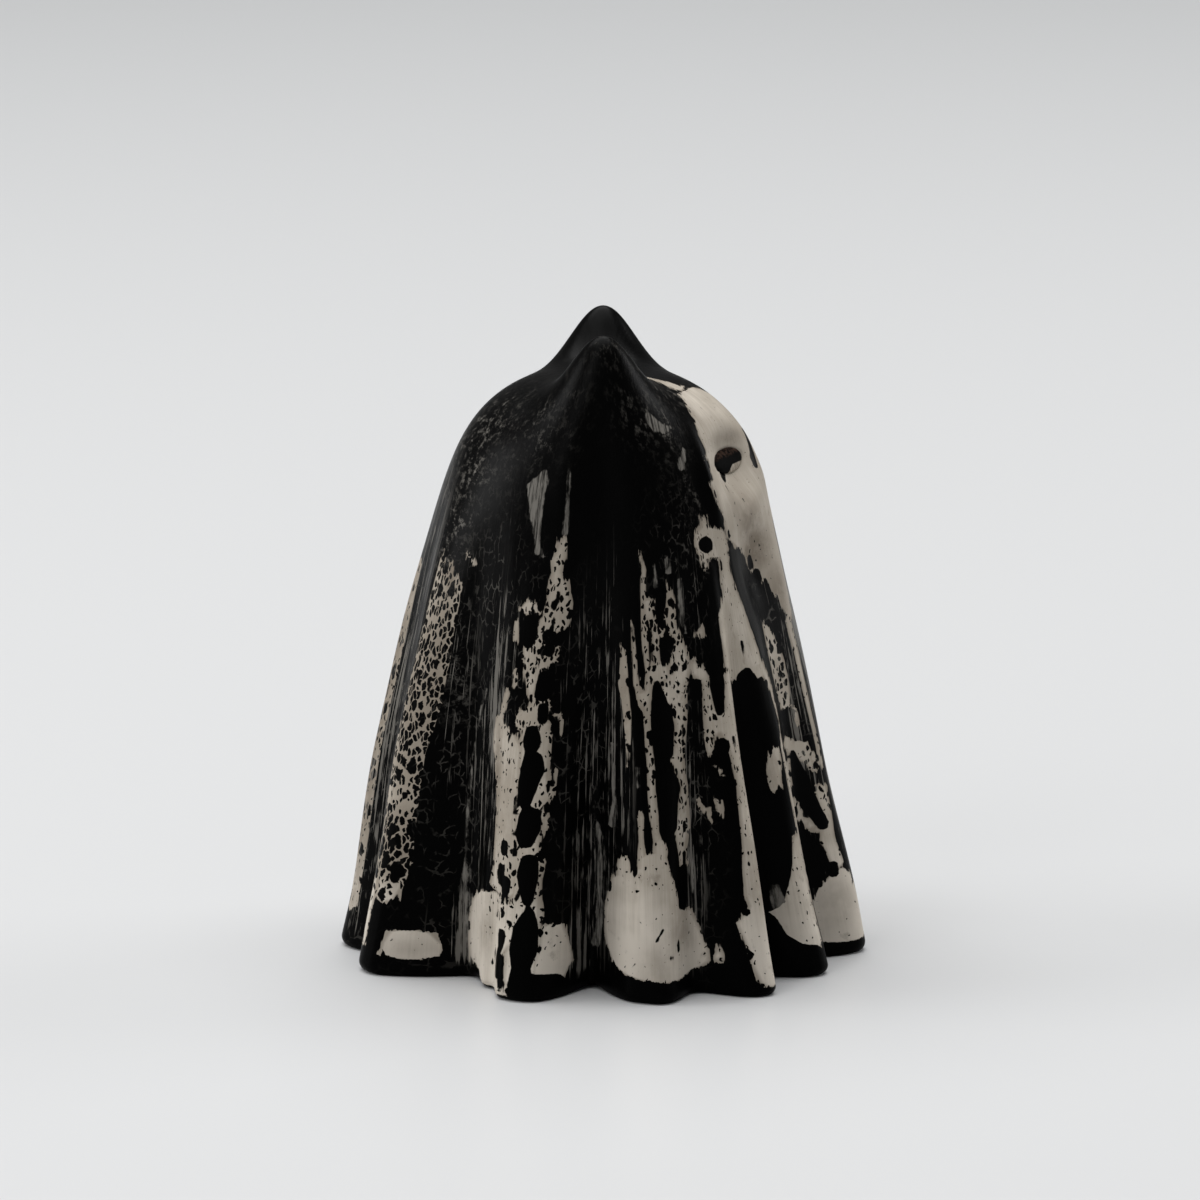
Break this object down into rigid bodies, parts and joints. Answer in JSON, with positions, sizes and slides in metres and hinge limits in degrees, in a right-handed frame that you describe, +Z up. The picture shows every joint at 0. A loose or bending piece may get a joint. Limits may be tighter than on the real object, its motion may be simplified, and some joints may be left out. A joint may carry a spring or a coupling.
{
  "type": "ghost cat figurine",
  "caption": "Small seasonal figurine of a cat under a draped ghost sheet with pointed ears and deep skirt folds, a cast shell closed underneath by an oval plug; stands on its flat hem.",
  "frame": {"origin": "middle of the overall box on the plane that the figurine stands on", "axes": "+Z up; the face looks along -Y; the cat's right side is at -X"},
  "size_m": [0.047, 0.054, 0.0657],
  "materials": {
    "marbled_resin": "satin cast resin, black marbled with warm cream",
    "plug_resin": "matt cast resin, black",
    "eye_black": "satin black"
  },
  "bodies": {
    "root": {"sheet_shell": "marbled_resin", "base_plug": "plug_resin", "right_eye": "eye_black", "left_eye": "eye_black"}
  },
  "joints": []
}
